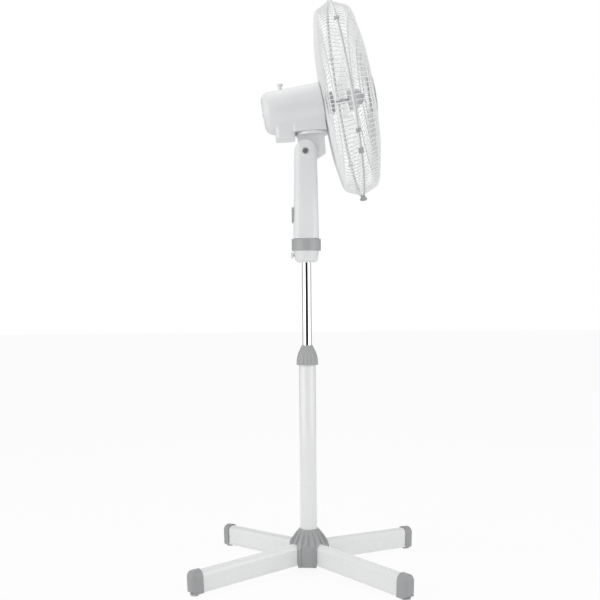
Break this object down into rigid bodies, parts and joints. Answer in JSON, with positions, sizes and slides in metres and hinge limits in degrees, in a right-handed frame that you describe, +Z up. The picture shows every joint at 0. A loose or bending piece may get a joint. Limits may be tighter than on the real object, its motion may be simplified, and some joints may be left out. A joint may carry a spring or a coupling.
{
  "type": "pedestal fan",
  "caption": "Free-standing electric fan on a cross base with a telescopic pole, tilting and swinging motor head and a round wire guard.",
  "frame": {"origin": "on the floor, on the axis of the pole", "axes": "+Z up along the pole, the fan blows towards -Y, +X is the right-hand side seen from the front"},
  "size_m": [0.4944, 0.4944, 1.2453],
  "materials": {
    "white_enamel": "smooth satin enamel",
    "grey_plastic": "satin moulded",
    "pale_rubber": "matte",
    "dark_plastic": "matte moulded",
    "white_plastic": "semi-gloss moulded",
    "chrome": "bright plated",
    "bright_steel": "zinc plated",
    "cast_alloy": "as cast",
    "core_steel": "laminated",
    "copper": "enamelled winding wire",
    "nylon": "natural nylon",
    "white_wire": "powder coated wire",
    "dark_grey_plastic": "matte moulded",
    "mid_grey_plastic": "satin moulded",
    "clear_plastic": "translucent moulded"
  },
  "bodies": {
    "base": {"leg_rear_right": "white_enamel", "leg_rear_left": "white_enamel", "leg_front_left": "white_enamel", "leg_front_right": "white_enamel", "leg_cap_rear_right": "grey_plastic", "leg_cap_rear_left": "grey_plastic", "leg_cap_front_left": "grey_plastic", "leg_cap_front_right": "grey_plastic", "foot_pads": "pale_rubber", "base_hub": "dark_plastic", "hub_cover": "grey_plastic", "hub_screws": "bright_steel", "outer_tube": "white_enamel", "tube_collet": "dark_plastic"},
    "collar": {"height_collar": "grey_plastic"},
    "column": {"chrome_rod": "chrome", "rod_guide": "dark_plastic", "neck_lower_cap": "white_plastic", "neck_band": "grey_plastic", "cord_gland": "dark_plastic", "neck_shell_left": "white_plastic", "neck_shell_right": "white_plastic", "speed_switch": "dark_plastic", "tilt_screw": "bright_steel", "tilt_nut": "bright_steel"},
    "fixing_screw": {"neck_fixing_screw": "white_plastic"},
    "key_0": {"speed_key_0": "grey_plastic"},
    "key_1": {"speed_key_1": "grey_plastic"},
    "key_2": {"speed_key_2": "grey_plastic"},
    "key_3": {"speed_key_3": "grey_plastic"},
    "bracket": {"tilt_bracket": "white_plastic"},
    "link": {"swing_link": "bright_steel"},
    "head": {"motor_rear_cover": "white_plastic", "motor_front_cover": "white_plastic", "front_end_bracket": "cast_alloy", "rear_end_bracket": "cast_alloy", "front_bearing": "bright_steel", "rear_bearing": "bright_steel", "stator_core": "core_steel", "stator_windings": "copper", "gearbox_case": "cast_alloy", "swing_pin": "bright_steel", "guard_nut": "dark_grey_plastic", "guard_plate": "white_wire", "rear_guard_wires": "white_wire", "rear_guard_rings": "white_wire", "front_guard_wires": "white_wire", "front_guard_rings": "white_wire", "front_rim_hoop": "grey_plastic", "rim_clips": "grey_plastic", "rim_latch": "grey_plastic", "rim_screw": "bright_steel", "cover_screw": "bright_steel", "front_badge": "white_plastic"},
    "knob": {"swing_knob": "white_plastic"},
    "crank": {"worm_wheel": "nylon"},
    "rotor": {"motor_shaft": "bright_steel", "rotor_core": "core_steel", "blade_wheel": "clear_plastic", "spinner": "mid_grey_plastic"}
  },
  "joints": [
    {"name": "height_slide", "type": "slide", "parent": "base", "child": "column", "axis": [0, 0, 1], "range_m": [-0.17, 0.02]},
    {"name": "collar_turn", "type": "hinge", "parent": "base", "child": "collar", "pos_m": [0, 0, 0.462], "axis": [0, 0, 1], "range_deg": [-90, 360]},
    {"name": "fixing_screw_turn", "type": "hinge", "parent": "column", "child": "fixing_screw", "pos_m": [0, 0.028, 0.69], "axis": [0, 1, 0], "range_deg": [-90, 720]},
    {"name": "head_tilt", "type": "hinge", "parent": "column", "child": "bracket", "pos_m": [0, 0, 0.916], "axis": [-1, 0, 0], "range_deg": [-20, 20]},
    {"name": "head_swing", "type": "hinge", "parent": "bracket", "child": "head", "pos_m": [0, -0.01339, 0.9591], "axis": [0, 0.061, 0.9981], "range_deg": [-30, 30]},
    {"name": "crank_turn", "type": "hinge", "parent": "head", "child": "crank", "pos_m": [0.016, 0.04897, 0.9631], "axis": [0, 0.061, 0.9981], "range_deg": [-45, 45]},
    {"name": "link_swing", "type": "hinge", "parent": "bracket", "child": "link", "pos_m": [0.013, -0.01307, 0.96439], "axis": [0, 0.061, 0.9981], "range_deg": [-31, 31]},
    {"name": "swing_knob_push", "type": "slide", "parent": "head", "child": "knob", "axis": [0, 0.061, 0.9981], "range_m": [-0.006, 0]},
    {"name": "blade_spin", "type": "hinge", "parent": "head", "child": "rotor", "pos_m": [0, -0.08844, 1.0306], "axis": [0, -0.9848, 0.1736], "continuous": true},
    {"name": "key_0_press", "type": "slide", "parent": "column", "child": "key_0", "axis": [0, -1, 0], "range_m": [0, 0.0035], "stiffness_N_per_m": 300, "springref_m": -0.001},
    {"name": "key_1_press", "type": "slide", "parent": "column", "child": "key_1", "axis": [0, -1, 0], "range_m": [0, 0.0035], "stiffness_N_per_m": 300, "springref_m": -0.001},
    {"name": "key_2_press", "type": "slide", "parent": "column", "child": "key_2", "axis": [0, -1, 0], "range_m": [0, 0.0035], "stiffness_N_per_m": 300, "springref_m": -0.001},
    {"name": "key_3_press", "type": "slide", "parent": "column", "child": "key_3", "axis": [0, -1, 0], "range_m": [0, 0.0035], "stiffness_N_per_m": 300, "springref_m": -0.001}
  ],
  "couplings": [
    {"joint": "crank_turn", "follows": "head_swing", "ratio": -1.46},
    {"joint": "link_swing", "follows": "head_swing", "ratio": 1}
  ]
}
